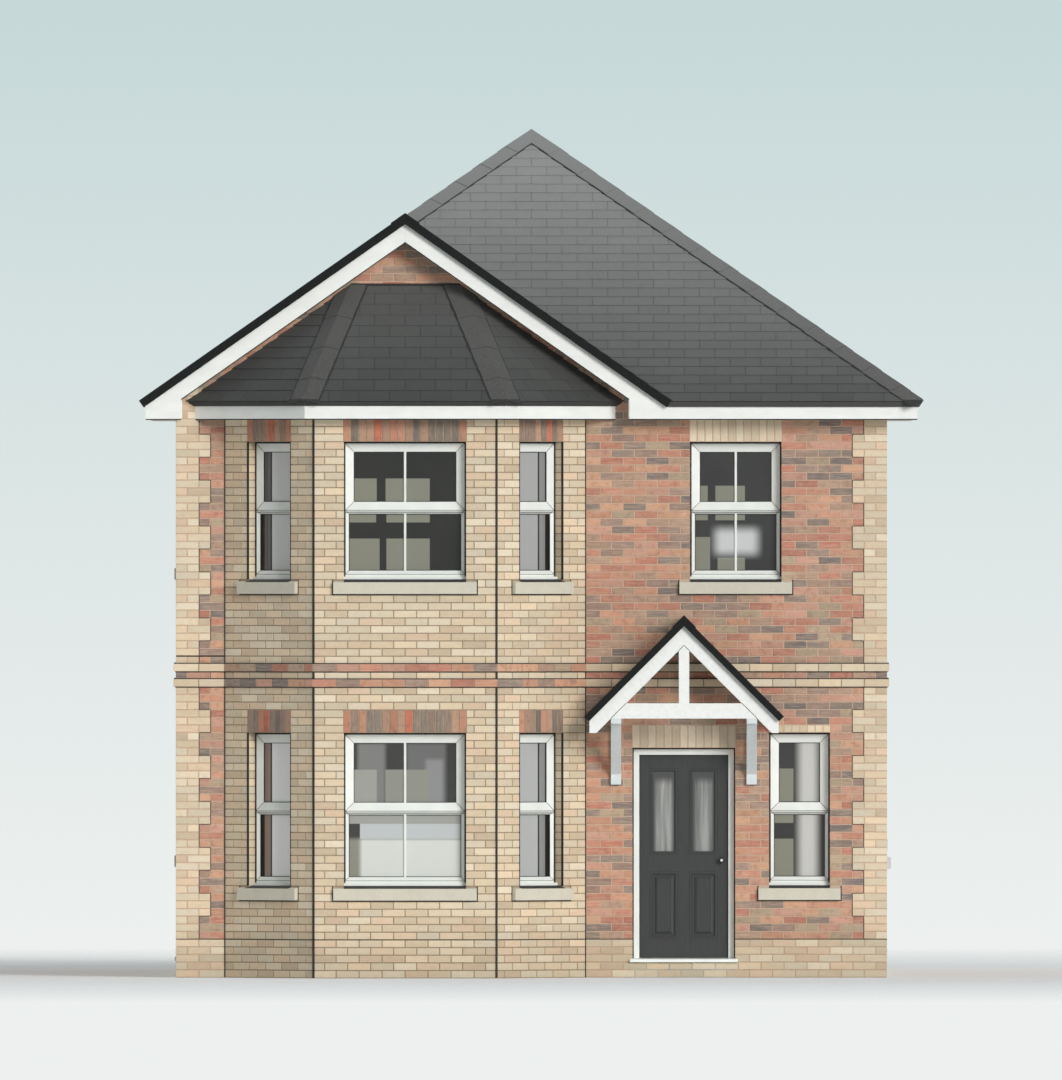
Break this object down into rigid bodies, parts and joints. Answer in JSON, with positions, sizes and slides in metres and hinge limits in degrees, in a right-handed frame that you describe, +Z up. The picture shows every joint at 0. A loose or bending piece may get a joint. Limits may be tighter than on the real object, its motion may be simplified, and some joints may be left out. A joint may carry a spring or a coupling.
{
  "type": "detached house",
  "caption": "Two-storey brick house with a hipped tile roof, front gable over a splayed bay window, and an open gabled canopy over a hinged front door.",
  "frame": {"origin": "middle of the main footprint, on the lowest ground line", "axes": "+X to the right seen from the street, +Y into the house, +Z up"},
  "size_m": [7.665, 10.2485, 8.349],
  "materials": {
    "red_brick": "multi-red facing brick in pale mortar",
    "buff_brick": "buff facing brick in brown mortar",
    "stone_sill": "cast stone, cream",
    "concrete": "power-floated concrete",
    "floor_boards": "timber floor boards",
    "ceiling_board": "painted plasterboard",
    "white_frame": "white plastic window and door profile",
    "white_board": "white plastic roof-line board",
    "white_timber": "white paint",
    "window_glass": "clear sealed unit",
    "obscure_glass": "reeded obscure glass",
    "door_paint": "dark grey satin paint",
    "door_metal": "satin steel",
    "roof_tile": "dark grey flat tile",
    "ridge_tile": "dark grey-brown ridge tile",
    "vent_plastic": "light grey vent plastic"
  },
  "bodies": {
    "house": {"ground_floor_slab": "concrete", "first_floor": "floor_boards", "loft_ceiling": "ceiling_board", "left_wall": "red_brick", "right_wall": "red_brick", "rear_wall": "red_brick", "front_wall_left": "red_brick", "front_wall_middle": "red_brick", "front_wall_over_door": "red_brick", "front_wall_right": "red_brick", "front_wall_upper": "red_brick", "gable_wall": "red_brick", "bay_wall_front": "buff_brick", "bay_wall_left": "buff_brick", "bay_wall_right": "buff_brick", "string_courses": "buff_brick", "bay_windows_ground": "white_frame", "bay_windows_first": "white_frame", "front_windows": "white_frame", "rear_windows": "white_frame", "bay_glass_ground": "window_glass", "bay_glass_first": "window_glass", "front_glass": "window_glass", "rear_glass": "window_glass", "front_sills": "stone_sill", "rear_sills": "stone_sill", "door_frame": "white_frame", "door_threshold": "white_frame", "door_hinge_pins": "door_metal", "canopy_rafters": "white_timber", "canopy_tie_beam": "white_timber", "canopy_king_post": "white_timber", "canopy_brackets": "white_timber", "canopy_roof": "roof_tile", "canopy_ridge_cap": "ridge_tile", "main_roof": "roof_tile", "gable_roof": "roof_tile", "bay_roof": "roof_tile", "main_ridge_caps": "ridge_tile", "gable_ridge_cap": "ridge_tile", "bay_hip_caps": "ridge_tile", "bargeboards": "white_board", "fascias": "white_board", "soffits": "white_board", "verge_soffit": "white_board", "bay_fascia": "white_board", "bay_soffit": "white_board", "side_vents": "vent_plastic"},
    "front_door": {"door_leaf": "door_paint", "door_glass": "obscure_glass", "door_knob": "door_metal", "door_hinge_leaves": "door_metal"}
  },
  "joints": [
    {"name": "front_door_hinge", "type": "hinge", "parent": "house", "child": "front_door", "pos_m": [1.042, -4.1945, 1.2], "axis": [0, 0, 1], "range_deg": [0, 90]}
  ]
}
